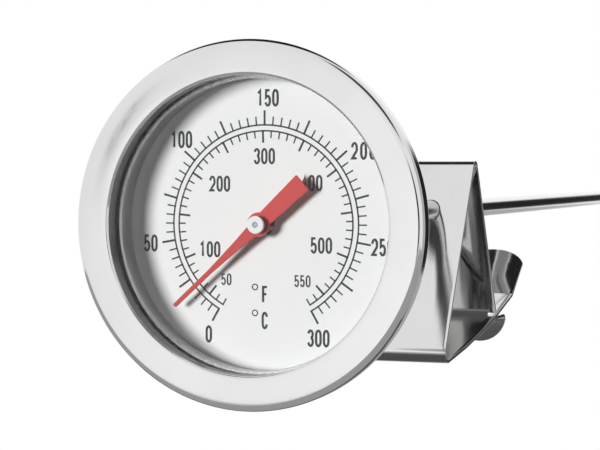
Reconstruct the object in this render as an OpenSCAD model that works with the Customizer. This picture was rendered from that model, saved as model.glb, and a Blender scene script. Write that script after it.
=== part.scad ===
// Dial thermometer with a bimetal stem and a sliding pan clip.
// The stem axis is Y. The dial faces -Y, +Z is up, and the origin is on the stem axis
// at the back face of the collar, where the stem leaves the case.

/* [Case] */
// Outer diameter of the bezel
bezel_d = 54; // [50:1:60]
// Front-to-back depth of the bezel
bezel_depth = 3.6; // [3.4:0.1:4.5]
// Diameter of the opening in the bezel
opening_d = 43.6; // [40:0.2:44]
// Sheet thickness of the bezel and the case
sheet_t = 0.6; // [0.5:0.1:0.7]
// Distance from the front face of the bezel to the dial
dial_depth = 8.2; // [8:0.1:9]
// Depth of the case behind the dial
back_depth = 5.5; // [5:0.1:8]
// Length of the collar behind the case
collar_len = 3; // [2:0.5:6]

/* [Window and dial] */
// Thickness of the glass window
glass_t = 1.2; // [1:0.1:1.5]
// Thickness of the gasket behind the window
gasket_t = 0.6; // [0.4:0.1:0.8]
// Thickness of the dial plate
dial_t = 0.5; // [0.4:0.1:0.8]

/* [Pointer] */
// Distance from the hub to the pointer's tip
pointer_len = 18.3; // [15:0.1:19]
// Distance from the hub to the end of the counterweight
tail_len = 9.3; // [7:0.1:10]
// Width of the counterweight at its end
tail_w = 2.9; // [2.5:0.1:4]
// Temperature shown at rest, in degrees Celsius
reading = 17.8; // [0:0.1:300]

/* [Stem] */
// Outer diameter of the stem
stem_d = 4; // [3.8:0.1:5]
// Wall thickness of the stem tube
stem_wall = 0.4; // [0.3:0.05:0.5]
// Length of the stem behind the collar
stem_len = 300; // [200:10:400]
// Diameter of the spindle inside the stem
spindle_d = 1; // [0.8:0.1:1.2]
// Length of the bimetal coil
coil_len = 48; // [30:1:60]
// Number of turns in the bimetal coil
coil_turns = 24; // [16:1:28]

/* [Pan clip] */
// Width of the clip's strip
clip_w = 14.5; // [13:0.5:18]
// Thickness of the clip's strip
clip_t = 0.6; // [0.5:0.05:0.7]
// Distance from the collar to the clip's top fold
clip_y = 81.9; // [70:0.1:200]
// Length of the straight part of the front leg
front_leg = 37.5; // [36:0.1:39]
// Length of the straight part of the rear leg
rear_leg = 31.8; // [31:0.1:31.9]
// Diameter of the front leg's hole, which runs on the stem
front_hole_d = 4.2; // [4.1:0.05:4.2]
// Diameter of the rear leg's hole, with room for the leg to swing
rear_hole_d = 4.7; // [4.7:0.1:5]

/* [Hidden] */
$fn = 96;

// Places along the stem axis, from the collar forwards
back_y = -collar_len;
dial_y = back_y - back_depth - dial_t;
front_y = dial_y - dial_depth;
bezel_back_y = front_y + bezel_depth;
flange_y = bezel_back_y - 2 * sheet_t;
glass_y = flange_y + 0.2;
gasket_y = glass_y + glass_t;
spacer_y = gasket_y + gasket_t;
pointer_y = dial_y - 2.6;
hub_y = dial_y - 3.9;

// Radii of the case
bezel_r = bezel_d / 2;
opening_r = opening_d / 2;
edge_r = 1;
lip_r = 0.4;
wall_r = opening_r + 1.2;
cup_r = opening_r - 1.8;
cup_corner_r = 2.4;
collar_r = 4;

// Scale: one degree of turn for each degree Celsius, with 0 at the lower left
scale_start = -150;
pointer_angle = scale_start + reading;
pointer_t = 0.3;
hub_r = 1.3;
boss_r = 1.8;

// Stem and movement
stem_r = stem_d / 2;
bore_r = stem_r - stem_wall;
spindle_r = spindle_d / 2;
run_gap = 0.05;
plug_len = 4;
immersion = 65;
groove_w = 1.2;
groove_t = 0.17;
anchor_len = 3;
coil_end_y = stem_len - plug_len - anchor_len;
coil_start_y = coil_end_y - coil_len;
socket_len = 4;
coil_strip_w = 1.1;
coil_strip_t = 0.25;
coil_r = bore_r - 0.2;
coil_steps = 14;
stem_mouth_y = back_y - sheet_t - 1.2;
guide_len = 2.5;
guide_places = [60, 130, 200];

// Pan clip, from its top fold down both legs
front_lean = 29.5;
rear_lean = 26.1;
fold_z = 7.55;
fold_r = 1.45;
fold_gap = 0.2;
bottom_r = 1.8;
panel_rise = 6.5;
bow_r = 277;
bow_angle = 9.5;
tab_bend_r = 2;
tab_rise = 33.6;
tab_len = 10.1;
tab_tip = 4.8;
rear_hole_z = 0.1;
slot_w = 11.8;
slot_y = 14;
slot_len = 6;
tongue_w = 11;
tongue_drop = 1;
tongue_bend_r = 1.2;
tongue_run = 11.2;
lower_tab_turn = 84;
tongue_tip = 4.4;

// A solid of revolution about the stem axis, from [radius, y] points
module turned(points) {
    rotate([-90, 0, 0])
        rotate_extrude()
            polygon(points);
}

// A round bar along the stem axis
module bar(y, length, r) {
    translate([0, y, 0])
        rotate([-90, 0, 0])
            cylinder(h = length, r = r);
}

// A tube along the stem axis
module sleeve(y, length, outer_r, inner_r) {
    difference() {
        bar(y, length, outer_r);
        bar(y - 1, length + 2, inner_r);
    }
}

// A solid ring with round edges of radius r on the outside corners
module rounded_ring(y, length, outer_r, inner_r, r) {
    rotate([-90, 0, 0])
        rotate_extrude() {
            translate([inner_r, y])
                square([outer_r - r - inner_r, length]);
            translate([inner_r, y + r])
                square([outer_r - inner_r, length - 2 * r]);
            for (corner_y = [y + r, y + length - r])
                translate([outer_r - r, corner_y])
                    circle(r = r);
        }
}

module bezel_ring() {
    color("gainsboro")
        difference() {
            rounded_ring(front_y, bezel_depth, bezel_r, opening_r + lip_r, edge_r);
            // Hollow behind the front face, open at the back inside the rolled edge
            rounded_ring(front_y + sheet_t, bezel_depth - 2 * sheet_t, bezel_r - sheet_t,
                opening_r + sheet_t, edge_r - sheet_t);
            sleeve(bezel_back_y - 1, 2, wall_r + 1.1, opening_r);
        }
    // Turned-in lip, round at the front, which runs back to the window
    color("gainsboro")
        rotate([-90, 0, 0])
            rotate_extrude() {
                translate([opening_r, front_y + lip_r])
                    square([sheet_t, glass_y - front_y - lip_r]);
                translate([opening_r + lip_r, front_y])
                    square([sheet_t, sheet_t]);
                translate([opening_r + lip_r, front_y + lip_r])
                    circle(r = lip_r);
            }
}

module case_seal() {
    seal_r = (flange_y - front_y - sheet_t) / 2;
    color("dimgray")
        rotate([-90, 0, 0])
            rotate_extrude()
                translate([wall_r + 1.6, flange_y - seal_r])
                    circle(r = seal_r);
}

module glass_lens() {
    color("aliceblue", 0.35)
        bar(glass_y, glass_t, wall_r - 0.2);
}

module lens_gasket() {
    color("whitesmoke")
        sleeve(gasket_y, gasket_t, wall_r - 0.2, opening_r - 0.4);
}

module spacer_ring() {
    color("silver")
        sleeve(spacer_y, dial_y - spacer_y, wall_r - 0.1, opening_r - 0.1);
}

module dial_plate() {
    color("white")
        sleeve(dial_y, dial_t, wall_r - 0.1, 1.6);
}

module case_shell() {
    ledge_y = dial_y + dial_t;
    flange_r = bezel_r - sheet_t - 0.4;
    color("silver")
        difference() {
            union() {
                turned([
                    [0, ledge_y], [wall_r + sheet_t, ledge_y],
                    [wall_r + sheet_t, ledge_y + sheet_t], [0, ledge_y + sheet_t]
                ]);
                sleeve(flange_y, sheet_t, flange_r, wall_r);
                sleeve(flange_y, ledge_y + sheet_t - flange_y, wall_r + sheet_t, wall_r);
                rounded_cup(ledge_y, back_y, cup_r);
            }
            rounded_cup(ledge_y - 2, back_y - sheet_t, cup_r - sheet_t);
            bar(back_y - 2, 3, stem_r);
        }
}

// A short drum from y0 to y1 with a round edge at its back
module rounded_cup(y0, y1, r) {
    rotate([-90, 0, 0])
        rotate_extrude() {
            translate([0, y0])
                square([r, y1 - y0 - cup_corner_r]);
            translate([0, y0])
                square([r - cup_corner_r, y1 - y0]);
            intersection() {
                translate([r - cup_corner_r, y1 - cup_corner_r])
                    circle(r = cup_corner_r);
                translate([0, y0])
                    square([r, y1 - y0]);
            }
        }
}

module stem_collar() {
    color("silver")
        difference() {
            rounded_ring(back_y, collar_len, collar_r, stem_r, 0.5);
            bar(back_y - 1, collar_len + 2, stem_r);
        }
}

module stem_washer() {
    color("gray")
        sleeve(back_y - sheet_t - 0.8, 0.8, collar_r + 1, stem_r);
}

// Tube with a shallow rolled groove that marks how deep the stem must be immersed
module stem_tube() {
    color("gainsboro")
        difference() {
            sleeve(stem_mouth_y, stem_len - plug_len + 1 - stem_mouth_y, stem_r, bore_r);
            sleeve(stem_len - immersion - groove_w, groove_w, stem_r + 1, stem_r - groove_t);
        }
}

module tip_plug() {
    color("gainsboro") {
        bar(stem_len - plug_len, plug_len - stem_r, bore_r);
        bar(stem_len - plug_len + 1, plug_len - 1 - stem_r, stem_r);
        intersection() {
            translate([0, stem_len - stem_r, 0])
                sphere(r = stem_r);
            bar(stem_len - stem_r, stem_r, stem_r + 1);
        }
    }
}

module coil_anchor() {
    color("darkgoldenrod")
        bar(coil_end_y + run_gap, anchor_len - run_gap, bore_r);
}

// Corners of the coil's strip after a given number of steps
function coil_corner(step, r, side) =
    let (turn = 360 * step / coil_steps,
         rise = coil_start_y + coil_strip_w / 2
            + (coil_len - coil_strip_w) * step / (coil_turns * coil_steps))
    [r * sin(turn), rise + side * coil_strip_w / 2, r * cos(turn)];

module bimetal_coil() {
    steps = coil_turns * coil_steps;
    inner_r = coil_r - coil_strip_t;
    points = [
        for (i = [0 : steps])
            each [coil_corner(i, inner_r, -1), coil_corner(i, coil_r, -1),
                coil_corner(i, coil_r, 1), coil_corner(i, inner_r, 1)]
    ];
    sides = [
        for (i = [0 : steps - 1], k = [0 : 3])
            let (a = 4 * i + k, b = 4 * i + (k + 1) % 4)
            each [[a, b, b + 4], [a, b + 4, a + 4]]
    ];
    last = 4 * steps;
    ends = [[3, 2, 1], [3, 1, 0], [last, last + 1, last + 2], [last, last + 2, last + 3]];
    color("peru")
        polyhedron(points = points, faces = concat(sides, ends), convexity = 10);
}

module coil_socket() {
    color("darkgoldenrod")
        sleeve(coil_start_y - socket_len - run_gap, socket_len, coil_r, spindle_r);
}

module spindle() {
    color("slategray")
        bar(hub_y, coil_start_y - 1 - hub_y, spindle_r);
}

module spindle_collar() {
    color("darkgoldenrod")
        sleeve(stem_mouth_y - 1.4, 1, 1.2, spindle_r);
}

module bearing_bush() {
    color("darkgoldenrod")
        sleeve(stem_mouth_y, 5, bore_r, spindle_r + run_gap);
}

module spindle_guides() {
    color("darkgoldenrod")
        for (y = guide_places)
            sleeve(y, guide_len, bore_r, spindle_r + run_gap);
}

// Needle and counterweight, cut from one flat sheet. The needle tapers from the
// hub and is nearly parallel over its outer part.
module pointer() {
    needle_w = 1.9;
    blade_w = 0.68;
    blade_start = 0.57 * pointer_len;
    tip_w = 0.62;
    neck_w = 2.35;
    color("indianred")
        translate([0, pointer_y, 0])
            rotate([0, pointer_angle, 0])
                rotate([-90, 0, 0])
                    difference() {
                        linear_extrude(height = pointer_t) {
                            polygon([
                                [-needle_w / 2, 0], [-blade_w / 2, -blade_start],
                                [-tip_w / 2, -pointer_len], [tip_w / 2, -pointer_len],
                                [blade_w / 2, -blade_start], [needle_w / 2, 0],
                                [neck_w / 2, 0], [tail_w / 2, tail_len],
                                [-tail_w / 2, tail_len], [-neck_w / 2, 0]
                            ]);
                            circle(r = boss_r);
                        }
                        translate([0, 0, -1])
                            cylinder(h = pointer_t + 2, r = spindle_r);
                    }
}

module pointer_bushing() {
    color("darkgoldenrod")
        sleeve(pointer_y + pointer_t, 1.5, 1.3, spindle_r);
}

module hub_cap() {
    color("white")
        difference() {
            rounded_ring(hub_y, pointer_y - hub_y, hub_r, spindle_r, 0.25);
            bar(hub_y - 1, 4, spindle_r);
        }
}

// Moves along the side of a strip: each is a turn in degrees, then a length.
// A bend is a row of short moves, followed by a straight stretch.
function bend_then_straight(r, angle, count, length) =
    let (half = angle / count / 2, chord = 2 * r * sin(abs(half)))
    concat([[half, chord]], [for (i = [2 : count]) [2 * half, chord]], [[half, length]]);

// Direction of a move, from +Y towards +Z
function heading(moves, i) = i == 0 ? moves[0][0] : heading(moves, i - 1) + moves[i][0];

// Middle of the strip before a move, which starts where the fold meets the rear leg
function spot(moves, i) =
    i == 0 ? [clip_y + fold_r * cos(rear_lean), fold_z + fold_r * sin(rear_lean)]
    : let (h = heading(moves, i - 1)) spot(moves, i - 1) + moves[i - 1][1] * [cos(h), sin(h)];

// Point on one face of the strip before a move
function face_spot(moves, i, side) =
    let (last = len(moves) - 1,
         before = heading(moves, max(i - 1, 0)),
         after = heading(moves, min(i, last)),
         middle = (before + after) / 2,
         reach = side * clip_t / 2 / cos((after - before) / 2))
    spot(moves, i) + reach * [-sin(middle), cos(middle)];

// A strip bent along its moves, from the one called first
module bent_strip(moves, first) {
    count = len(moves);
    translate([-clip_w / 2, 0, 0])
        rotate([90, 0, 90])
            linear_extrude(height = clip_w)
                polygon(concat(
                    [for (i = [first : count]) face_spot(moves, i, 1)],
                    [for (i = [count : -1 : first]) face_spot(moves, i, -1)]
                ));
}

// What lies outside the round end of a tab, with the strip's last stretch along +Y
module beyond_round_end(moves, width, tip) {
    end = spot(moves, len(moves));
    r = (width * width / 4 + tip * tip) / (2 * tip);
    translate([0, end[0], end[1]])
        rotate([heading(moves, len(moves) - 1), 0, 0])
            difference() {
                translate([-width, -tip, -2])
                    cube([2 * width, tip + 1, 4]);
                translate([0, -r, -3])
                    cylinder(h = 6, r = r);
            }
}

// Top fold, front leg, bottom panel and upper thumb tab
module clip_frame() {
    fold_turn = 180 - front_lean - rear_lean;
    bottom_turn = 90 + front_lean + panel_rise;
    tab_turn = tab_rise - panel_rise - bow_angle;
    moves = concat(
        [[90 + rear_lean, 0.1]],
        bend_then_straight(fold_r, fold_turn, 14, front_leg),
        bend_then_straight(bottom_r, bottom_turn, 14, 0.5),
        bend_then_straight(bow_r, bow_angle, 16, 0.5),
        bend_then_straight(tab_bend_r, tab_turn, 4, tab_len + tab_tip)
    );
    color("lightgray")
        difference() {
            bent_strip(moves, 0);
            beyond_round_end(moves, clip_w, tab_tip);
            translate([-slot_w / 2, clip_y + slot_y, fold_z - 40])
                cube([slot_w, slot_len, 20]);
            bar(clip_y - 20, 20, front_hole_d / 2);
        }
}

// Rear leg, and the tongue that passes through the panel and ends in the lower tab
module clip_leg() {
    moves = concat(
        [[rear_lean - 90, fold_gap], [0, rear_leg - fold_gap + tongue_drop]],
        bend_then_straight(tongue_bend_r, 90 - rear_lean, 8, tongue_run),
        bend_then_straight(tongue_bend_r, -lower_tab_turn, 8, tongue_tip)
    );
    color("lightgray")
        difference() {
            bent_strip(moves, 1);
            beyond_round_end(moves, tongue_w, tongue_tip);
            translate([0, spot(moves, 0)[0], spot(moves, 0)[1]])
                rotate([rear_lean - 90, 0, 0])
                    for (side_x = [-tongue_w / 2 - 4, tongue_w / 2])
                        translate([side_x, rear_leg, -20])
                            cube([4, 40, 40]);
            translate([0, 0, rear_hole_z])
                bar(clip_y, 20, rear_hole_d / 2);
        }
}

bezel_ring();
case_seal();
glass_lens();
lens_gasket();
spacer_ring();
dial_plate();
case_shell();
stem_collar();
stem_washer();
stem_tube();
tip_plug();
coil_anchor();
bimetal_coil();
coil_socket();
spindle();
spindle_collar();
bearing_bush();
spindle_guides();
pointer();
pointer_bushing();
hub_cap();
clip_frame();
clip_leg();
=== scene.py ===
"""A dial thermometer with a sliding pan clip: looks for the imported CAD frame."""
import math

import bmesh
import bpy
from mathutils import Matrix, Vector


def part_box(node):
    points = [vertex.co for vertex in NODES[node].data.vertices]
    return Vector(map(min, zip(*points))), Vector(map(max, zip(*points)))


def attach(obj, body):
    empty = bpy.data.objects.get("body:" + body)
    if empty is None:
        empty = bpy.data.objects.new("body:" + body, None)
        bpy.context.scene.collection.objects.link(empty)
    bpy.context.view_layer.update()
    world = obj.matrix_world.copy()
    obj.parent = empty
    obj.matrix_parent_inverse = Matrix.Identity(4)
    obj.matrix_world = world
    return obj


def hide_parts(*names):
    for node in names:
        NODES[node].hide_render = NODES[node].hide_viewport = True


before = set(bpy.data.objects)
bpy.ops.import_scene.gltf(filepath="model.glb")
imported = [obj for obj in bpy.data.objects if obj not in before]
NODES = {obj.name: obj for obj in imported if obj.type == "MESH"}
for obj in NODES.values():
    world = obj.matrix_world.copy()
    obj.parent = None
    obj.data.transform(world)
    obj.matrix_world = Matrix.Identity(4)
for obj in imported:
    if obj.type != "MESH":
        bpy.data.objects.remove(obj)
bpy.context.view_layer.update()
MM = 0.001


def mm_box(node):
    """A CAD node's lowest and highest corners, in millimetres."""
    low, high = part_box(node)
    return low / MM, high / MM


# ---------------------------------------------------------------- materials

def new_material(name):
    """A material with a Principled shader: the material, its node tree and the shader."""
    material = bpy.data.materials.new(name)
    material.use_nodes = True
    tree = material.node_tree
    tree.nodes.clear()
    output = tree.nodes.new("ShaderNodeOutputMaterial")
    shader = tree.nodes.new("ShaderNodeBsdfPrincipled")
    tree.links.new(shader.outputs[0], output.inputs["Surface"])
    return material, tree, shader


def link(tree, a, b):
    tree.links.new(a, b)


def place(tree, scale=(1, 1, 1)):
    """Object coordinates, stretched."""
    coords = tree.nodes.new("ShaderNodeTexCoord")
    mapping = tree.nodes.new("ShaderNodeMapping")
    mapping.inputs["Scale"].default_value = scale
    link(tree, coords.outputs["Object"], mapping.inputs["Vector"])
    return mapping.outputs["Vector"]


def noise(tree, vector, scale, detail, rough):
    node = tree.nodes.new("ShaderNodeTexNoise")
    node.inputs["Scale"].default_value = scale
    node.inputs["Detail"].default_value = detail
    node.inputs["Roughness"].default_value = rough
    link(tree, vector, node.inputs["Vector"])
    return node.outputs["Fac"]


def remap(tree, value, low, high, out_low, out_high):
    """The range low to high, stretched to the range out_low to out_high."""
    node = tree.nodes.new("ShaderNodeMapRange")
    node.inputs["From Min"].default_value = low
    node.inputs["From Max"].default_value = high
    node.inputs["To Min"].default_value = out_low
    node.inputs["To Max"].default_value = out_high
    link(tree, value, node.inputs["Value"])
    return node.outputs["Result"]


def ramp(tree, value, stops):
    """Colours blended between stops of (position, colour)."""
    node = tree.nodes.new("ShaderNodeValToRGB")
    elements = node.color_ramp.elements
    while len(elements) < len(stops):
        elements.new(0.5)
    for element, (position, color) in zip(elements, stops):
        element.position = position
        element.color = (*color, 1)
    link(tree, value, node.inputs["Fac"])
    return node.outputs["Color"]


def bump(tree, shader, height, distance, strength):
    """Small surface relief, with its height in metres."""
    node = tree.nodes.new("ShaderNodeBump")
    node.inputs["Strength"].default_value = strength
    node.inputs["Distance"].default_value = distance
    link(tree, height, node.inputs["Height"])
    link(tree, node.outputs["Normal"], shader.inputs["Normal"])


def maths(tree, operation, *inputs):
    """A Math node whose inputs are sockets or numbers."""
    node = tree.nodes.new("ShaderNodeMath")
    node.operation = operation
    for socket, value in zip(node.inputs, inputs):
        if isinstance(value, (int, float)):
            socket.default_value = value
        else:
            link(tree, value, socket)
    return node.outputs[0]


def turned_vector(tree):
    """Coordinates for a lathe's lines: fine across radius and depth, long round the axis."""
    fine = 600.0
    coarse = 3.0
    coords = tree.nodes.new("ShaderNodeTexCoord")
    split = tree.nodes.new("ShaderNodeSeparateXYZ")
    link(tree, coords.outputs["Object"], split.inputs[0])
    angle = maths(tree, "ARCTAN2", split.outputs["X"], split.outputs["Z"])
    swing = maths(tree, "SINE", angle)
    flat = tree.nodes.new("ShaderNodeCombineXYZ")
    link(tree, split.outputs["X"], flat.inputs["X"])
    link(tree, split.outputs["Z"], flat.inputs["Y"])
    radius = tree.nodes.new("ShaderNodeVectorMath")
    radius.operation = "LENGTH"
    link(tree, flat.outputs[0], radius.inputs[0])
    out = tree.nodes.new("ShaderNodeCombineXYZ")
    link(tree, maths(tree, "MULTIPLY", radius.outputs["Value"], fine), out.inputs["X"])
    link(tree, maths(tree, "MULTIPLY", swing, coarse), out.inputs["Y"])
    link(tree, maths(tree, "MULTIPLY", split.outputs["Y"], fine), out.inputs["Z"])
    return out.outputs[0]


def mottled(tree, shader, value, color, darker, lighter):
    """A colour that drifts slightly with the value."""
    tint = ramp(tree, value, [
        (0.3, tuple(c * darker for c in color)),
        (0.7, tuple(min(1.0, c * lighter) for c in color)),
    ])
    link(tree, tint, shader.inputs["Base Color"])


def steel(name, color, rough, spread, vector_maker, scale, depth, strength):
    """Metal with fine lines that vary its roughness by the spread and its surface by the depth."""
    material, tree, shader = new_material(name)
    shader.inputs["Metallic"].default_value = 1.0
    lines = noise(tree, vector_maker(tree), scale, 4.0, 0.6)
    cloud = noise(tree, place(tree), 90.0, 3.0, 0.5)
    mottled(tree, shader, cloud, color, 0.965, 1.02)
    link(tree, remap(tree, lines, 0.3, 0.7, rough - spread, rough + spread), shader.inputs["Roughness"])
    bump(tree, shader, lines, depth, strength)
    return material


def paint(name, color, rough, speck, grain=1800.0, depth=0.000006):
    """Paint, enamel, plastic or paper with a fine surface texture and slight tone changes."""
    material, tree, shader = new_material(name)
    fine = noise(tree, place(tree), grain, 3.0, 0.55)
    broad = noise(tree, place(tree), 120.0, 2.0, 0.5)
    mottled(tree, shader, broad, color, 1 - speck, 1 + speck)
    link(tree, remap(tree, fine, 0.3, 0.7, rough * 0.85, rough * 1.15), shader.inputs["Roughness"])
    bump(tree, shader, fine, depth, 0.4)
    return material


def clear_glass(name):
    """Flat float glass: nearly all see-through, with a mirror gloss that grows at a slant."""
    material = bpy.data.materials.new(name)
    material.use_nodes = True
    tree = material.node_tree
    tree.nodes.clear()
    output = tree.nodes.new("ShaderNodeOutputMaterial")
    clear = tree.nodes.new("ShaderNodeBsdfTransparent")
    clear.inputs["Color"].default_value = (0.985, 0.992, 0.99, 1)
    gloss = tree.nodes.new("ShaderNodeBsdfGlossy")
    gloss.inputs["Color"].default_value = (1, 1, 1, 1)
    smear = noise(tree, place(tree), 60.0, 3.0, 0.6)
    link(tree, remap(tree, smear, 0.3, 0.7, 0.01, 0.05), gloss.inputs["Roughness"])
    edge = tree.nodes.new("ShaderNodeFresnel")
    edge.inputs["IOR"].default_value = 1.3
    mix = tree.nodes.new("ShaderNodeMixShader")
    link(tree, edge.outputs[0], mix.inputs["Fac"])
    link(tree, clear.outputs[0], mix.inputs[1])
    link(tree, gloss.outputs[0], mix.inputs[2])
    link(tree, mix.outputs[0], output.inputs["Surface"])
    return material


def along_stem(tree):
    """Lines that run along the stem."""
    return place(tree, (2500.0, 25.0, 2500.0))


def across_sheet(tree):
    """Rolling lines that run along the clip's strip."""
    return place(tree, (2200.0, 40.0, 40.0))


def shader_of(material):
    return material.node_tree.nodes["Principled BSDF"]


def rolled_finish(material):
    """Stretches the highlights across the clip's strip, as rolled sheet does."""
    tree = material.node_tree
    shader = shader_of(material)
    shader.inputs["Anisotropic"].default_value = 0.80
    rolling = tree.nodes.new("ShaderNodeTangent")
    rolling.direction_type = "RADIAL"
    rolling.axis = "X"
    link(tree, rolling.outputs["Tangent"], shader.inputs["Tangent"])


# name, colour, roughness and its spread, direction of the lines, their scale, depth and strength
BEZEL_STEEL = steel("bezel_steel", (0.62, 0.62, 0.617), 0.09, 0.02, turned_vector, 8.0, 0.000004, 0.10)
CASE_STEEL = steel("case_steel", (0.55, 0.55, 0.545), 0.32, 0.06, turned_vector, 8.0, 0.000012, 0.25)
WALL_STEEL = steel("wall_steel", (0.58, 0.585, 0.59), 0.42, 0.05, turned_vector, 6.0, 0.000008, 0.2)
STEM_STEEL = steel("stem_steel", (0.62, 0.62, 0.617), 0.12, 0.02, along_stem, 1.0, 0.000004, 0.12)
CLIP_STEEL = steel("clip_steel", (0.61, 0.61, 0.607), 0.13, 0.02, across_sheet, 1.0, 0.000002, 0.05)
rolled_finish(CLIP_STEEL)
PIN_STEEL = steel("pin_steel", (0.45, 0.48, 0.53), 0.3, 0.05, turned_vector, 8.0, 0.000006, 0.2)
BRASS = steel("turned_brass", (0.55, 0.44, 0.26), 0.28, 0.06, turned_vector, 8.0, 0.00001, 0.25)
BIMETAL = steel("rolled_bimetal", (0.58, 0.50, 0.42), 0.34, 0.05, across_sheet, 1.0, 0.00001, 0.2)
# the lip's steel is far darker than steel: painted shade for the recess's inner wall
LIP_PAINTED_SHADE_STEEL = steel("lip_steel_painted_shade", (0.15, 0.15, 0.15), 0.30, 0.05, turned_vector, 8.0, 0.000006, 0.15)
GASKET = steel("gasket_foil", (0.72, 0.72, 0.715), 0.28, 0.05, turned_vector, 6.0, 0.000004, 0.15)
shader_of(GASKET).inputs["Metallic"].default_value = 0.45
# name, colour, roughness, change of tone
DIAL_WHITE = paint("dial_enamel", (0.84, 0.84, 0.835), 0.38, 0.008)
shader_of(DIAL_WHITE).inputs["Specular IOR Level"].default_value = 0.2
PRINT_INK = paint("print_ink", (0.035, 0.036, 0.04), 0.5, 0.15)
POINTER_RED = paint("pointer_paint", (0.55, 0.065, 0.065), 0.36, 0.04)
HUB_WHITE = paint("hub_plastic", (0.82, 0.83, 0.84), 0.4, 0.01)
RUBBER = paint("seal_rubber", (0.03, 0.03, 0.03), 0.7, 0.1)
GLASS = clear_glass("window_glass")


def dress(obj, material):
    """Gives an object one material."""
    obj.data.materials.clear()
    obj.data.materials.append(material)


# ------------------------------------------------------------------- meshes

def add_object(name, mesh, body, material, sharp=35.0):
    """Adds a mesh as a piece that rides on a CAD body, with edges kept sharp above an angle."""
    mesh.set_sharp_from_angle(angle=math.radians(sharp))
    obj = bpy.data.objects.new(name, mesh)
    bpy.context.scene.collection.objects.link(obj)
    dress(obj, material)
    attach(obj, body)
    return obj


def smooth(mesh):
    for face in mesh.polygons:
        face.use_smooth = True


def arc(center, radius, start, end, steps):
    """Points of an arc in the (radius, depth) plane, in degrees."""
    return [
        (
            center[0] + radius * math.cos(math.radians(start + (end - start) * i / steps)),
            center[1] + radius * math.sin(math.radians(start + (end - start) * i / steps)),
        )
        for i in range(steps + 1)
    ]


def lathe(name, profile, body, material, segments, closed=True, sharp=35.0):
    """A solid turned about the stem axis from a (radius, depth) outline in millimetres.

    An outline that isn't closed starts and ends on the axis.
    """
    on_axis = 1e-6
    bm = bmesh.new()
    rings = []
    for r, y in profile:
        if r < on_axis:
            rings.append([bm.verts.new((0, y * MM, 0))])
        else:
            rings.append([
                bm.verts.new((
                    r * MM * math.sin(2 * math.pi * k / segments), y * MM,
                    r * MM * math.cos(2 * math.pi * k / segments),
                ))
                for k in range(segments)
            ])
    pairs = list(zip(rings, rings[1:]))
    if closed:
        pairs.append((rings[-1], rings[0]))
    for a, b in pairs:
        for k in range(segments):
            n = (k + 1) % segments
            if len(a) == 1 and len(b) == 1:
                break
            if len(a) == 1:
                bm.faces.new((a[0], b[n], b[k]))
            elif len(b) == 1:
                bm.faces.new((a[k], a[n], b[0]))
            else:
                bm.faces.new((a[k], a[n], b[n], b[k]))
    bmesh.ops.recalc_face_normals(bm, faces=bm.faces)
    mesh = bpy.data.meshes.new(name)
    bm.to_mesh(mesh)
    bm.free()
    smooth(mesh)
    return add_object(name, mesh, body, material, sharp)


def chamfered(r_in, r_out, y0, y1, c):
    """Outline of a tube with small broken corners."""
    return [
        (r_in + c, y0), (r_out - c, y0), (r_out, y0 + c), (r_out, y1 - c),
        (r_out - c, y1), (r_in + c, y1), (r_in, y1 - c), (r_in, y0 + c),
    ]


# --------------------------------------------------------------------- case

bezel_low, bezel_high = mm_box("bezel_ring")
glass_low, glass_high = mm_box("glass_lens")
gasket_low, gasket_high = mm_box("lens_gasket")
spacer_low, spacer_high = mm_box("spacer_ring")
dial_low, _ = mm_box("dial_plate")

FRONT_Y = bezel_low.y
BACK_Y = bezel_high.y
BEZEL_R = bezel_high.x
OPENING_R = 21.8
SHEET = 0.6
LIP_R = 0.4
EDGE_R = 1.0
# how far the opening's edge lies behind the bezel's highest circle
CROWN = 0.02
# small play between neighbouring rings
PLAY = 0.02


def bezel_profile():
    """The bezel's rolled sheet, from the lip's inner end round the front and the back."""
    back_lip_r = 24.2
    # the face is almost flat: circles on it and their depth in crowns
    face = [(22.9, 0.35), (24.4, 0.0), (25.6, 0.25)]
    lip_end = glass_low.y - PLAY
    front_edge = (BEZEL_R - EDGE_R, FRONT_Y + EDGE_R + CROWN)
    back_edge = (BEZEL_R - EDGE_R, BACK_Y - EDGE_R)
    return (
        [(OPENING_R, lip_end)]
        + arc((OPENING_R + LIP_R, FRONT_Y + CROWN + LIP_R), LIP_R, 180, 270, 12)
        + [(r, FRONT_Y + CROWN * depth) for r, depth in face]
        + arc(front_edge, EDGE_R, 270, 360, 20)
        + arc(back_edge, EDGE_R, 0, 90, 20)
        + [(back_lip_r, BACK_Y), (back_lip_r, BACK_Y - SHEET)]
        + arc(back_edge, EDGE_R - SHEET, 90, 0, 8)
        + arc(front_edge, EDGE_R - SHEET, 0, -90, 8)
        + [(OPENING_R + SHEET, FRONT_Y + SHEET + 0.1), (OPENING_R + SHEET, lip_end)]
    )


def paint_lip_shade(bezel):
    """The lip's inner wall has a duller finish than the face, and its dark colour is painted shade, for
    the wall lies in its own shade.
    """
    bezel.data.materials.append(LIP_PAINTED_SHADE_STEEL)
    for face in bezel.data.polygons:
        radius = math.hypot(face.center.x, face.center.z)
        if radius < (OPENING_R + 0.3) * MM and face.center.y > (FRONT_Y + LIP_R) * MM:
            face.material_index = 1


bezel = lathe("bezel", bezel_profile(), "case", BEZEL_STEEL, 320)
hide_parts("bezel_ring")
paint_lip_shade(bezel)

pane = chamfered(0.0, glass_high.x, glass_low.y, glass_high.y, 0.1)[1:5]
window = lathe("window", pane + [(0.0, glass_high.y), (0.0, glass_low.y)], "case",
               GLASS, 192, closed=False)
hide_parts("glass_lens")


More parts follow.
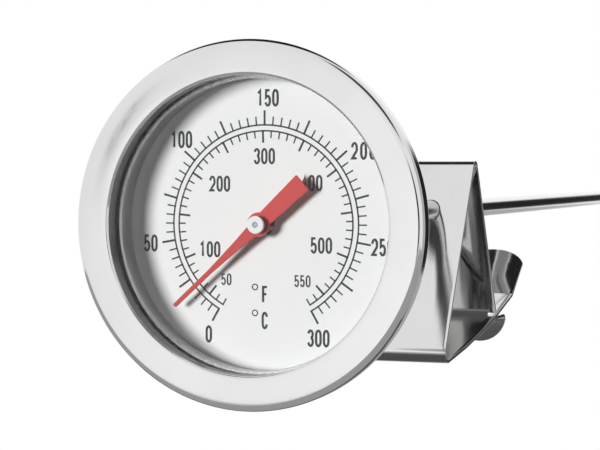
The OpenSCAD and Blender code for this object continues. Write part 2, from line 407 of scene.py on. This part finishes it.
def gasket_profile():
    """An L: a flat ring behind the window with a rounded inner edge, and a rim round the window."""
    seat_r = gasket_high.x + 0.03
    outer_r = gasket_high.x + 0.16
    inner_r = OPENING_R - 0.4
    round_r = 0.35
    bevel = 0.12
    front = gasket_low.y + PLAY
    rim_end = glass_low.y + 0.05
    return [
        (seat_r, front), (seat_r, rim_end), (outer_r, rim_end), (outer_r, gasket_high.y),
        (inner_r + bevel, gasket_high.y), (inner_r, gasket_high.y - bevel),
    ] + arc((inner_r + round_r, front + round_r), round_r, 180, 270, 8)


gasket = lathe("gasket", gasket_profile(), "case", GASKET, 256)
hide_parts("lens_gasket")

wall_profile = chamfered(OPENING_R - 0.1, spacer_high.x, spacer_low.y + PLAY, spacer_high.y - PLAY, 0.1)
spacer = lathe("spacer", wall_profile, "case", WALL_STEEL, 256)
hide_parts("spacer_ring")

dress(NODES["dial_plate"], DIAL_WHITE)
dress(NODES["case_shell"], CASE_STEEL)
dress(NODES["case_seal"], RUBBER)
dress(NODES["stem_collar"], CASE_STEEL)
dress(NODES["stem_washer"], CASE_STEEL)
for node in ("coil_anchor", "coil_socket", "spindle_collar", "bearing_bush", "spindle_guides"):
    dress(NODES[node], BRASS)
dress(NODES["bimetal_coil"], BIMETAL)
dress(NODES["pointer_bushing"], PIN_STEEL)

# --------------------------------------------------------------- dial print

DIAL_Y = dial_low.y
RING_OUT = 14.67
RING_IN = 13.80
RING_W = 0.24
SCALE_START = -150.0
# thickness of the ink and the gap that keeps it off the dial's own surface
PRINT_T = 0.015
PRINT_GAP = 0.004
ink = bmesh.new()


def dial_point(x, z, lift):
    """A point in front of the dial, from millimetres right and up from its middle."""
    return Vector((x * MM, (DIAL_Y - PRINT_GAP - lift) * MM, z * MM))


def ink_pairs(left, right, lift):
    """Corners of an ink line, two for each of its points."""
    return [
        (ink.verts.new(dial_point(*a, lift)), ink.verts.new(dial_point(*b, lift)))
        for a, b in zip(left, right)
    ]


def stroke(points, width, closed=False):
    """An ink line of constant width through (x, z) points on the dial."""
    count = len(points)
    left, right = [], []
    for i, (x, z) in enumerate(points):
        before = points[i - 1] if i > 0 or closed else None
        after = points[(i + 1) % count] if i < count - 1 or closed else None
        directions = []
        if before:
            directions.append(Vector((x - before[0], z - before[1])).normalized())
        if after:
            directions.append(Vector((after[0] - x, after[1] - z)).normalized())
        mean = sum(directions, Vector((0, 0)))
        mean = directions[0] if mean.length < 1e-6 else mean.normalized()
        reach = width / 2 / max(0.5, mean.dot(directions[0]))
        normal = Vector((-mean.y, mean.x)) * reach
        left.append((x + normal.x, z + normal.y))
        right.append((x - normal.x, z - normal.y))
    steps = count if closed else count - 1
    top = ink_pairs(left, right, PRINT_T)
    base = ink_pairs(left, right, 0)
    for i in range(steps):
        n = (i + 1) % count
        ink.faces.new((top[i][0], top[i][1], top[n][1], top[n][0]))
        ink.faces.new((base[i][1], base[i][0], base[n][0], base[n][1]))
        ink.faces.new((top[i][0], top[n][0], base[n][0], base[i][0]))
        ink.faces.new((top[n][1], top[i][1], base[i][1], base[n][1]))
    if not closed:
        ink.faces.new((top[0][1], top[0][0], base[0][0], base[0][1]))
        ink.faces.new((top[-1][0], top[-1][1], base[-1][1], base[-1][0]))


def polar(r, degrees):
    """A point on the dial from its radius and its bearing from the top."""
    a = math.radians(degrees)
    return r * math.sin(a), r * math.cos(a)


def ring_line(r, start, end, width):
    """Part of a circle between two bearings."""
    steps = max(8, int((end - start) / 2))
    stroke([polar(r, start + (end - start) * i / steps) for i in range(steps + 1)], width)


def celsius(t):
    """Bearing of a temperature: one degree round the dial for each degree Celsius."""
    return SCALE_START + t


def fahrenheit(t):
    return celsius((t - 32.0) / 1.8)


def ticks(values, long_step, bearing, ring_r, outward, long, short):
    """Ticks that leave a ring outwards (1) or inwards (-1), long at each multiple of a step."""
    long_w = 0.31
    short_w = 0.22
    for t in values:
        is_long = t % long_step == 0
        r0 = ring_r - outward * RING_W / 2
        r1 = ring_r + outward * (long if is_long else short)
        line = [polar(r0, bearing(t)), polar(r1, bearing(t))]
        stroke(line, long_w if is_long else short_w)


ring_line(RING_OUT, celsius(0), celsius(300), RING_W)
ring_line(RING_IN, fahrenheit(30), fahrenheit(570), RING_W)
ticks(range(0, 301, 5), 25, celsius, RING_OUT, 1, 2.15, 1.28)
ticks(range(30, 571, 10), 50, fahrenheit, RING_IN, -1, 1.75, 1.05)


def bow(cx, cz, rx, rz, start, end, steps=10):
    """Part of an ellipse, with angles from the +x side towards +z."""
    return [
        (
            cx + rx * math.cos(math.radians(start + (end - start) * i / steps)),
            cz + rz * math.sin(math.radians(start + (end - start) * i / steps)),
        )
        for i in range(steps + 1)
    ]


def glyph(sign):
    """Centre lines of a narrow sign in a cell 1 wide and 1 high, with closed flags."""
    # height of the round part at each end of a sign
    k = 0.30
    if sign == "0":
        return [(bow(0.5, 1 - k, 0.5, k, 0, 180) + bow(0.5, k, 0.5, k, 180, 360), True)]
    if sign == "1":
        return [([(0.08, 0.80), (0.55, 1.0), (0.55, 0.0)], False)]
    if sign == "2":
        return [(bow(0.5, 1 - k, 0.5, k, 175, 0) + bow(0.5, 0.62, 0.5, 0.26, 0, -30, 4)
                 + [(0.02, 0.02), (1.0, 0.02)], False)]
    if sign == "3":
        return [(bow(0.5, 0.76, 0.48, 0.24, 170, -80, 12), False),
                (bow(0.5, 0.27, 0.5, 0.27, 80, -170, 12), False)]
    if sign == "4":
        return [([(0.72, 0.0), (0.72, 1.0), (0.0, 0.26), (1.06, 0.26)], False)]
    if sign == "5":
        return [([(0.92, 1.0), (0.14, 1.0), (0.08, 0.52)] + bow(0.5, 0.34, 0.48, 0.28, 130, 0, 8)
                 + bow(0.5, 0.28, 0.48, 0.28, 0, -165, 10), False)]
    if sign == "F":
        return [([(0.06, 0.0), (0.06, 1.0), (0.95, 1.0)], False), ([(0.06, 0.53), (0.80, 0.53)], False)]
    return [(bow(0.5, 1 - k, 0.46, k, 10, 180) + bow(0.5, k, 0.46, k, 180, 350), False)]


def label(text, cx, cz, height, width, pitch, pen):
    """A row of signs centred on the dial at (cx, cz)."""
    inner_w = width - pen
    inner_h = height - pen
    for i, sign in enumerate(text):
        x0 = cx + (i - (len(text) - 1) / 2) * pitch - inner_w / 2
        z0 = cz - inner_h / 2
        for line, closed in glyph(sign):
            stroke([(x0 + x * inner_w, z0 + z * inner_h) for x, z in line], pen, closed)


# sizes of the numbers in millimetres; WIDE is set with wider gaps
LARGE = dict(height=2.60, width=1.06, pitch=1.22, pen=0.36)
WIDE = dict(LARGE, pitch=1.40)
INNER = dict(height=2.42, width=1.02, pitch=1.18, pen=0.34)
SMALL = dict(height=1.78, width=0.76, pitch=0.90, pen=0.24)
# each label's signs, the place of its middle and its size
LABELS = [
    ("0", -9.0, -16.55, LARGE), ("50", -18.5, -3.05, LARGE), ("100", -13.4, 12.55, LARGE),
    ("150", 0.5, 18.65, LARGE), ("200", 15.43, 10.8, WIDE), ("250", 18.35, -3.2, LARGE),
    ("300", 8.45, -16.7, LARGE), ("50", -6.15, -8.3, SMALL), ("100", -8.8, -3.85, INNER),
    ("200", -7.2, 5.95, INNER), ("300", -0.05, 10.05, INNER), ("400", 7.4, 6.1, INNER),
    ("500", 8.9, -3.05, INNER), ("550", 5.95, -8.35, SMALL), ("F", 0.05, -10.45, LARGE),
    ("C", 0.0, -14.3, LARGE),
]
for text, cx, cz, size in LABELS:
    label(text, cx, cz, **size)
# the degree signs before F and C
for z in (-9.35, -13.2):
    stroke(bow(-1.55, z, 0.42, 0.42, 0, 345, 24), 0.18, True)

bmesh.ops.recalc_face_normals(ink, faces=ink.faces)
print_mesh = bpy.data.meshes.new("dial_print")
ink.to_mesh(print_mesh)
ink.free()
add_object("dial_print", print_mesh, "case", PRINT_INK)

# ------------------------------------------------------------ stem and probe

tube_low, tube_high = mm_box("stem_tube")
_, plug_high = mm_box("tip_plug")
STEM_R = tube_high.x
TIP_Y = plug_high.y
BORE_R = 1.6
# the groove that marks how deep the probe goes in: its far edge, width and depth
MARK_Y = TIP_Y - 65.0
MARK_W = 1.2
MARK_T = 0.17
# the weld between tube and plug, with a small broken corner on each side
SEAM_Y = TIP_Y - 3.0
CORNER = 0.05


def stem_profile():
    """The tube, with rings of points along it that keep its shading even beside the groove."""
    mark_near = MARK_Y - MARK_W
    mark_r = STEM_R - MARK_T
    before = list(range(0, 221, 20)) + [230.0, mark_near - 0.5, mark_near - 0.15]
    after = [MARK_Y + 0.15, MARK_Y + 0.5, 260.0, 280.0, SEAM_Y - CORNER]
    return (
        [(BORE_R, tube_low.y), (STEM_R, tube_low.y)]
        + [(STEM_R, y) for y in before]
        + [(mark_r, mark_near + 0.1), (mark_r, MARK_Y - 0.1)]
        + [(STEM_R, y) for y in after]
        + [(STEM_R - CORNER, SEAM_Y), (BORE_R, SEAM_Y)]
    )


stem = lathe("stem", stem_profile(), "case", STEM_STEEL, 96, sharp=20.0)
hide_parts("stem_tube")

plug_y = SEAM_Y + PLAY
tip_outline = (
    [(0.0, plug_y), (STEM_R - CORNER, plug_y), (STEM_R, plug_y + CORNER)]
    + arc((0.0, TIP_Y - STEM_R), STEM_R, 0, 90, 16)[:-1]
    + [(0.0, TIP_Y)]
)
tip = lathe("probe_tip", tip_outline, "case", STEM_STEEL, 96, closed=False, sharp=20.0)
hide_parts("tip_plug")

# ------------------------------------------------------------------ pointer

pointer_low, _ = mm_box("pointer")
cap_low, cap_high = mm_box("hub_cap")
READING = 17.8
POINTER_LEN = 18.3
TAIL_LEN = 9.3
BOSS_R = 1.8
# half widths of the needle at the hub, where it gets nearly parallel, and at its tip
HALF_NEEDLE = 0.95
HALF_BLADE = 0.34
HALF_TIP = 0.31
BLADE_START = 0.57 * POINTER_LEN
# half widths of the counterweight at the hub and at its end
HALF_NECK = 1.175
HALF_TAIL = 1.45


def boss_side(start, end):
    """Points on the boss's right side between two bearings from the needle, in degrees."""
    steps = 14
    bearings = [math.radians(start + (end - start) * i / steps) for i in range(steps + 1)]
    return [(BOSS_R * math.sin(a), BOSS_R * math.cos(a)) for a in bearings]


def leave_angle(half):
    """Bearing at which a straight part of a given half width leaves the boss."""
    return math.degrees(math.asin(half / BOSS_R))


def plate(name, outline, y_front, thick, bevel, body, material, turn):
    """A flat plate in the dial's plane with a small bevel round its front edge."""
    area = sum(a[0] * b[1] - b[0] * a[1] for a, b in zip(outline, outline[1:] + outline[:1]))
    loop = [Vector(p) for p in (outline if area > 0 else outline[::-1])]
    count = len(loop)
    inset = []
    for i, here in enumerate(loop):
        d0 = (here - loop[i - 1]).normalized()
        d1 = (loop[(i + 1) % count] - here).normalized()
        mean = (d0 + d1).normalized()
        inset.append(here + Vector((-mean.y, mean.x)) * bevel / max(0.35, mean.dot(d0)))
    spin = Matrix.Rotation(math.radians(turn), 4, "Y")
    bm = bmesh.new()
    rows = []
    for ring, y in ((inset, y_front), (loop, y_front + bevel), (loop, y_front + thick)):
        rows.append([bm.verts.new(spin @ Vector((x * MM, y * MM, z * MM))) for x, z in ring])
    for a, b in zip(rows, rows[1:]):
        for i in range(count):
            n = (i + 1) % count
            bm.faces.new((a[i], a[n], b[n], b[i]))
    bm.faces.new(rows[0])
    bm.faces.new(rows[-1][::-1])
    bmesh.ops.recalc_face_normals(bm, faces=bm.faces)
    mesh = bpy.data.meshes.new(name)
    bm.to_mesh(mesh)
    bm.free()
    smooth(mesh)
    return add_object(name, mesh, body, material, sharp=25.0)


def pointer_profile():
    """Outline (x, z) of counterweight, boss and needle, with the needle pointing to +z."""
    corner = 0.12
    slope = (HALF_BLADE - HALF_NEEDLE) / BLADE_START
    right = (
        [(HALF_TAIL - corner, -TAIL_LEN), (HALF_TAIL, -TAIL_LEN + corner)]
        + boss_side(180 - leave_angle(HALF_NECK), leave_angle(HALF_NEEDLE))
        + [(HALF_NEEDLE + slope * z, z) for z in (4.0, 7.0)]
        + [(HALF_BLADE, BLADE_START), (HALF_TIP, POINTER_LEN - 0.15), (HALF_TIP - corner, POINTER_LEN)]
    )
    return right + [(-x, z) for x, z in reversed(right)]


needle = plate("pointer_needle", pointer_profile(), pointer_low.y, 0.3, 0.06, "movement",
               POINTER_RED, celsius(READING))
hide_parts("pointer")

HUB_R = cap_high.x
PIN_R = 0.37
SPINDLE_R = 0.5


def hub_profile():
    """The hub's disc: a dished bore round the spindle's end, a rounded rim and a narrower neck."""
    front = cap_low.y
    neck_r = 0.9
    rim_r = 0.12
    under_r = 0.08
    return (
        [(SPINDLE_R, cap_high.y), (SPINDLE_R, front + 0.35), (PIN_R + 0.02, front + 0.3),
         (PIN_R + 0.02, front + 0.1), (PIN_R + 0.1, front + 0.02), (PIN_R + 0.25, front)]
        + arc((HUB_R - rim_r, front + rim_r), rim_r, 270, 360, 6)
        + arc((HUB_R - under_r, front + 0.42), under_r, 0, 90, 4)
        + [(neck_r, front + 0.52), (neck_r, cap_high.y)]
    )


hub = lathe("hub_disc", hub_profile(), "movement", HUB_WHITE, 96)
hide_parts("hub_cap")

spindle_low, spindle_high = mm_box("spindle")
PIN_Y = spindle_low.y + 0.06
SHOULDER_Y = spindle_low.y + 0.5
SHAFT_R = SPINDLE_R - PLAY
spindle_profile = [
    (0.0, PIN_Y), (PIN_R - 0.08, PIN_Y), (PIN_R, PIN_Y + 0.08), (PIN_R, SHOULDER_Y),
    (SHAFT_R, SHOULDER_Y), (SHAFT_R, spindle_high.y), (0.0, spindle_high.y),
]
shaft = lathe("spindle_shaft", spindle_profile, "movement", PIN_STEEL, 48, closed=False)
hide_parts("spindle")

# ---------------------------------------------------------------- pan clip

_, frame_high = mm_box("clip_frame")
CLIP_W = frame_high.x * 2
CLIP_T = 0.6
FOLD_Y = 81.9
FOLD_Z = 7.55
FOLD_R = 1.45
REAR_LEAN = 26.1
EDGE_BREAK = 0.07


class Strip:
    """The middle line of a bent strip in the (y, z) plane: straight stretches and arcs.

    It starts at a point with a heading in degrees, and each stretch goes on from the last.
    """

    def __init__(self, y, z, degrees):
        self.parts = []
        self.place, self.turn, self.length = Vector((y, z)), math.radians(degrees), 0.0

    def straight(self, length):
        """Goes straight on for a length."""
        self.parts.append((self.length, length, self.place.copy(), self.turn, 0.0))
        self.place += Vector((math.cos(self.turn), math.sin(self.turn))) * length
        self.length += length
        return self

    def bend(self, radius, degrees):
        """Turns along an arc, to the left for a positive angle."""
        angle = math.radians(degrees)
        length = radius * abs(angle)
        self.parts.append((self.length, length, self.place.copy(), self.turn, angle / length))
        self.place = self._at(self.parts[-1], length)[0]
        self.turn += angle
        self.length += length
        return self

    @staticmethod
    def _at(part, run):
        _, _, place, turn, curve = part
        if curve == 0:
            return place + Vector((math.cos(turn), math.sin(turn))) * run, turn
        end = turn + curve * run
        across = (math.sin(end) - math.sin(turn)) / curve
        along = (math.cos(turn) - math.cos(end)) / curve
        return place + Vector((across, along)), end

    def at(self, s):
        """Place and heading a distance s along the strip."""
        part = self.parts[0]
        for candidate in self.parts:
            if s >= candidate[0]:
                part = candidate
        return self._at(part, s - part[0])

    def cuts(self):
        """Places where the flat strip is cut across, so that it can bend."""
        margin = 0.3
        degrees_per_cut = 5
        found = []
        for start, length, _, _, curve in self.parts:
            if curve == 0:
                found += [start, start + margin, start + length - margin]
            else:
                steps = max(4, int(math.degrees(abs(curve) * length) / degrees_per_cut))
                found += [start + length * i / steps for i in range(steps + 1)]
        return sorted({round(v, 4) for v in found if 0.01 < v < self.length - 0.01})


def round_end(s, width, tip):
    """Outline points (x, s) of a round end that starts at s and is tip long, from +x to -x."""
    steps = 28
    r = (width * width / 4 + tip * tip) / (2 * tip)
    half = math.asin(width / 2 / r)
    middle = s + tip - r
    return [
        (r * math.sin(half - 2 * half * i / steps), middle + r * math.cos(half - 2 * half * i / steps))
        for i in range(steps + 1)
    ]


def stem_hole(s, radius, heading):
    """A hole in a leaning leg that looks round along the stem."""
    steps = 64
    long_radius = radius / abs(math.sin(math.radians(heading)))
    turns = [2 * math.pi * i / steps for i in range(steps)]
    return [(radius * math.cos(a), s + long_radius * math.sin(a)) for a in turns]


def rounded_slot(s0, s1, width):
    """A slot across the strip from s0 to s1, with round corners."""
    r = 0.5
    steps = 4
    half = width / 2 - r
    corners = [(half, s1 - r, 0), (-half, s1 - r, 90), (-half, s0 + r, 180), (half, s0 + r, 270)]
    points = []
    for x, s, start in corners:
        turns = [math.radians(start + 90 * i / steps) for i in range(steps + 1)]
        points += [(x + r * math.cos(a), s + r * math.sin(a)) for a in turns]
    return points


def mirrored(right_side, end):
    """Closes an outline (x, s) from its right side and its round end."""
    left_side = [(-x, s) for x, s in reversed(right_side)]
    return [left_side[-1]] + right_side + end + left_side[:-1]


def flat_blank(name, outline, holes):
    """The mesh of a flat blank with soft edges, cut from an outline and holes in (x, s)."""
    curve = bpy.data.curves.new(name + "_blank", "CURVE")
    curve.dimensions = "2D"
    curve.fill_mode = "BOTH"
    curve.extrude = (CLIP_T / 2 - EDGE_BREAK) * MM
    curve.bevel_depth = EDGE_BREAK * MM
    curve.bevel_resolution = 2
    curve.offset = -EDGE_BREAK * MM
    for loop in [outline] + holes:
        spline = curve.splines.new("POLY")
        spline.points.add(len(loop) - 1)
        for point, (x, s) in zip(spline.points, loop):
            point.co = (x * MM, s * MM, 0, 1)
        spline.use_cyclic_u = True
    blank = bpy.data.objects.new(name + "_blank", curve)
    bpy.context.scene.collection.objects.link(blank)
    bpy.context.view_layer.update()
    mesh = bpy.data.meshes.new_from_object(blank.evaluated_get(bpy.context.evaluated_depsgraph_get()))
    bpy.data.objects.remove(blank)
    bpy.data.curves.remove(curve)
    mesh.name = name
    return mesh


def bent_sheet(name, strip, outline, holes, lean_hole, body):
    """Cuts a flat blank and bends it along the strip.

    Round the lean hole (place, reach, heading) the sheet is sheared, so that the hole's wall
    runs along the stem.
    """
    mesh = flat_blank(name, outline, holes)
    bm = bmesh.new()
    bm.from_mesh(mesh)
    bmesh.ops.remove_doubles(bm, verts=bm.verts, dist=0.002 * MM)
    for s in strip.cuts():
        bmesh.ops.bisect_plane(bm, geom=bm.verts[:] + bm.edges[:] + bm.faces[:], dist=0.0001 * MM,
                               plane_co=(0, s * MM, 0), plane_no=(0, 1, 0))
    middle, reach, heading = lean_hole
    for vert in bm.verts:
        x, s, h = (value / MM for value in vert.co)
        if math.hypot(x, s - middle) < reach:
            s -= h / math.tan(math.radians(heading))
        place, turn = strip.at(s)
        place = place + Vector((-math.sin(turn), math.cos(turn))) * h
        vert.co = Vector((x, place.x, place.y)) * MM
    bmesh.ops.recalc_face_normals(bm, faces=bm.faces)
    bm.to_mesh(mesh)
    bm.free()
    smooth(mesh)
    mesh.materials.clear()
    return add_object(name, mesh, body, CLIP_STEEL, sharp=28.0)


# the seam at the top fold, where the two pieces of the strip meet
lean = math.radians(REAR_LEAN)
fold_end = (FOLD_Y + FOLD_R * math.cos(lean), FOLD_Z + FOLD_R * math.sin(lean))
SEAM_FLAT = 0.1
FRONT_SEAM = 0.05
REAR_SEAM = 0.12
# keeps the last point of a straight edge apart from the round end's first one
NUDGE = 0.001

FOLD_SWEEP = 124.4
FRONT_HEADING = 90 + REAR_LEAN + FOLD_SWEEP
FRONT_LEG = 37.5
FRONT_HOLE_R = 2.1
SLOT_W = 11.8
TAB_RISE = 14.9
TAB_TIP = 4.8

front = Strip(*fold_end, 90 + REAR_LEAN).straight(SEAM_FLAT).bend(FOLD_R, FOLD_SWEEP).straight(FRONT_LEG)
leg_start = SEAM_FLAT + FOLD_R * math.radians(FOLD_SWEEP)
leg_place, _ = front.at(leg_start)
front.bend(1.8, 126.0).straight(0.5)
panel_start = front.length
# the panel is slightly hollow, and the thumb tab rises from its far end
front.bend(277.0, 9.5).straight(0.5).bend(2.0, 17.6).straight(TAB_RISE)

frame_half = CLIP_W / 2
# where the stem's axis crosses the front leg
front_hole_s = leg_start + leg_place.y / -math.sin(math.radians(FRONT_HEADING))


def run_to_y(strip, y, low, high):
    """The distance along a rising stretch at which the strip reaches y."""
    for _ in range(40):
        middle = (low + high) / 2
        if strip.at(middle)[0].x < y:
            low = middle
        else:
            high = middle
    return (low + high) / 2


slot_s0, slot_s1 = (
    run_to_y(front, FOLD_Y + behind, panel_start, front.length - 15) for behind in (14.0, 20.0)
)
frame_side = [(frame_half, FRONT_SEAM), (frame_half, front.length - TAB_TIP - NUDGE)]
thumb_end = round_end(front.length - TAB_TIP, CLIP_W, TAB_TIP)[1:-1]
clip_frame = bent_sheet(
    "clip_front", front, mirrored(frame_side, thumb_end),
    [stem_hole(front_hole_s, FRONT_HOLE_R, FRONT_HEADING), rounded_slot(slot_s0, slot_s1, SLOT_W)],
    (front_hole_s, 3.2, FRONT_HEADING), "clip",
)
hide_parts("clip_frame")

REAR_HEADING = REAR_LEAN - 90
REAR_LEG = 31.8
REAR_HOLE_R = 2.35
TONGUE_W = 11.0
TONGUE_DROP = 1.0
TONGUE_TIP = 4.4
tongue_half = TONGUE_W / 2

# the leg, then the tongue that runs below the panel and turns down into the round tab
rear = Strip(*fold_end, REAR_HEADING).straight(REAR_LEG + TONGUE_DROP).bend(1.2, 63.9).straight(11.2)
rear.bend(1.2, -84.0).straight(TONGUE_TIP)
rear_hole_s = (fold_end[1] - 0.1) / -math.sin(math.radians(REAR_HEADING))
leg_side = [
    (frame_half, REAR_SEAM), (frame_half, REAR_LEG - 0.3), (frame_half - 0.3, REAR_LEG),
    (tongue_half + 0.3, REAR_LEG), (tongue_half, REAR_LEG + 0.2),
    (tongue_half, rear.length - TONGUE_TIP - NUDGE),
]
tab_end = round_end(rear.length - TONGUE_TIP, TONGUE_W, TONGUE_TIP)[1:-1]
clip_leg = bent_sheet(
    "clip_rear", rear, mirrored(leg_side, tab_end),
    [stem_hole(rear_hole_s, REAR_HOLE_R, REAR_HEADING)],
    (rear_hole_s, 3.6, REAR_HEADING), "clip_lever",
)
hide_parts("clip_leg")

# ------------------------------------------------------- camera and studio

scene = bpy.context.scene


def add_camera(place, forward, up, lens):
    """A camera at a place, looking along one direction with another one upright."""
    data = bpy.data.cameras.new("camera")
    data.lens = lens
    data.sensor_width = 36
    data.clip_start = 0.01
    data.clip_end = 100
    camera = bpy.data.objects.new("camera", data)
    scene.collection.objects.link(camera)
    forward = Vector(forward).normalized()
    right = forward.cross(Vector(up)).normalized()
    true_up = right.cross(forward).normalized()
    turn = Matrix((right, true_up, -forward)).transposed().to_4x4()
    camera.matrix_world = Matrix.Translation(place) @ turn
    return camera


scene.camera = add_camera(
    (0.108036, -0.284451, 0.009139), (-0.34846, 0.93680, -0.03133), (-0.01076, 0.02943, 0.99951), 120)


def disk_light(name, place, target, size, power):
    """A round lamp of a given width in metres and power in watts."""
    data = bpy.data.lights.new(name, "AREA")
    data.shape = "DISK"
    data.size = size
    data.energy = power
    light = bpy.data.objects.new(name, data)
    scene.collection.objects.link(light)
    light.location = place
    light.rotation_euler = (Vector(target) - Vector(place)).to_track_quat("-Z", "Y").to_euler()
    return light


# the key light stands left of the camera and shades the left side of the recess
key = disk_light("key_left", (-0.47, -1.13, 0.06), (0, 0, 0), 0.34, 15.1)
key.visible_glossy = False


def grey(value):
    return (value, value, value)


def stage_sheet(name, low, high, depth, color, glow):
    """A level sheet of the studio between two (x, y) corners, with a glow of its own."""
    mesh = bpy.data.meshes.new(name)
    corners = [(low[0], low[1]), (high[0], low[1]), (high[0], high[1]), (low[0], high[1])]
    mesh.from_pydata([(x, y, depth) for x, y in corners], [], [(0, 1, 2, 3)])
    sheet = bpy.data.objects.new(name, mesh)
    scene.collection.objects.link(sheet)
    material = paint(name + "_paper", grey(color), 0.9, 0.005, 40.0, 0.0001)
    shader = shader_of(material)
    shader.inputs["Emission Color"].default_value = (1, 1, 1, 1)
    shader.inputs["Emission Strength"].default_value = glow
    mesh.materials.append(material)
    sheet.visible_diffuse = False
    return sheet


def only_mirrored(sheet):
    """Leaves a sheet to the reflections in the steel."""
    sheet.visible_camera = False
    sheet.visible_shadow = False


# the floor ends behind the object, below the picture, so that the background stays white
FLOOR_Z = -1.2
floor = stage_sheet("floor", (-60.0, -60.0), (60.0, 5.5), FLOOR_Z, 0.95, 0.89)
floor.visible_glossy = False
# the steel mirrors a smaller and darker floor, which gives it contrast and leaves the bezel light
only_mirrored(stage_sheet("mirrored_floor", (-6.0, -6.0), (6.0, 6.0), FLOOR_Z, 0.95, 0.42))
# a dark card below the clip keeps the gap at the rear leg's foot dark
only_mirrored(stage_sheet("dark_card", (-0.07, 0.0), (0.07, 0.09), -0.055, 0.05, 0.09))

world = bpy.data.worlds.new("studio")
scene.world = world
world.use_nodes = True
tree = world.node_tree
tree.nodes.clear()
output = tree.nodes.new("ShaderNodeOutputWorld")
coords = tree.nodes.new("ShaderNodeTexCoord")


def sky_maths(operation, a, b=None):
    """A vector maths node whose inputs are sockets or vectors."""
    node = tree.nodes.new("ShaderNodeVectorMath")
    node.operation = operation
    link(tree, a, node.inputs[0])
    if b is not None:
        node.inputs[1].default_value = b
    return node


def soft_step(value, low, high):
    """0 at low, 1 at high, and smooth between them."""
    span = tree.nodes.new("ShaderNodeMapRange")
    span.interpolation_type = "SMOOTHSTEP"
    span.inputs["From Min"].default_value = low
    span.inputs["From Max"].default_value = high
    link(tree, value, span.inputs["Value"])
    return span.outputs["Result"]


def facing(direction, low, high):
    """1 where the sky lies close to a direction, 0 away from it, by the cosine between them."""
    dot = sky_maths("DOT_PRODUCT", coords.outputs["Generated"], Vector(direction).normalized())
    return soft_step(dot.outputs["Value"], low, high)


def slim_spot(direction, squeeze, outer, inner):
    """1 in a small upright oval about a direction, 0 outside it."""
    away = sky_maths("SUBTRACT", coords.outputs["Generated"], Vector(direction).normalized())
    wide = sky_maths("MULTIPLY", away.outputs["Vector"], (squeeze, squeeze, 1))
    size = sky_maths("LENGTH", wide.outputs["Vector"])
    return soft_step(size.outputs["Value"], outer, inner)


def blend_light(base, value, amount):
    """Mixes a grey into a base, which is a socket or a fixed colour."""
    mix = tree.nodes.new("ShaderNodeMix")
    mix.data_type = "RGBA"
    link(tree, amount, mix.inputs["Factor"])
    if isinstance(base, tuple):
        mix.inputs["A"].default_value = (*base, 1)
    else:
        link(tree, base, mix.inputs["A"])
    mix.inputs["B"].default_value = (*grey(value), 1)
    return mix.outputs["Result"]


# the tent's own light, and its lighter and darker panels: light, direction and cosine band
TENT = 1.19
PANELS = [
    (0.45, (0, 0.1, -1), 0.50, 0.85),
    (1.38, (-0.15, -0.95, -0.25), 0.90, 0.985),
    (0.60, (0.90, 0.45, 0.0), 0.80, 0.95),
    (0.02, (-0.32, 0.20, 0.93), 0.86, 0.92),
    (0.02, (-0.10, 0.40, 0.91), 0.90, 0.95),
    (0.08, (0.42, -0.48, 0.77), 0.91, 0.97),
    (0.02, (0.33, 0.94, 0.02), 0.955, 0.982),
    (0.02, (0.35, -0.94, 0.03), 0.972, 0.988),
]
sky = grey(TENT)
for light, direction, low, high in PANELS:
    sky = blend_light(sky, light, facing(direction, low, high))
# the dark streak at the bezel's upper left
sky = blend_light(sky, 0.10, slim_spot((-0.4291, -0.9031, 0.0181), 3.0, 0.040, 0.008))
tent = tree.nodes.new("ShaderNodeBackground")
link(tree, sky, tent.inputs["Color"])
path = tree.nodes.new("ShaderNodeLightPath")
# matt surfaces get little light from the tent, so that the key light's shadows stay deep
MATT_SHARE = 0.05
share = remap(tree, path.outputs["Is Glossy Ray"], 0.0, 1.0, MATT_SHARE, 1.0)
link(tree, share, tent.inputs["Strength"])
backdrop = tree.nodes.new("ShaderNodeBackground")
backdrop.inputs["Color"].default_value = (1, 1, 1, 1)
backdrop.inputs["Strength"].default_value = 1.0
pick = tree.nodes.new("ShaderNodeMixShader")
link(tree, path.outputs["Is Camera Ray"], pick.inputs["Fac"])
link(tree, tent.outputs[0], pick.inputs[1])
link(tree, backdrop.outputs[0], pick.inputs[2])
link(tree, pick.outputs[0], output.inputs["Surface"])

scene.view_settings.view_transform = "Standard"
scene.view_settings.look = "None"
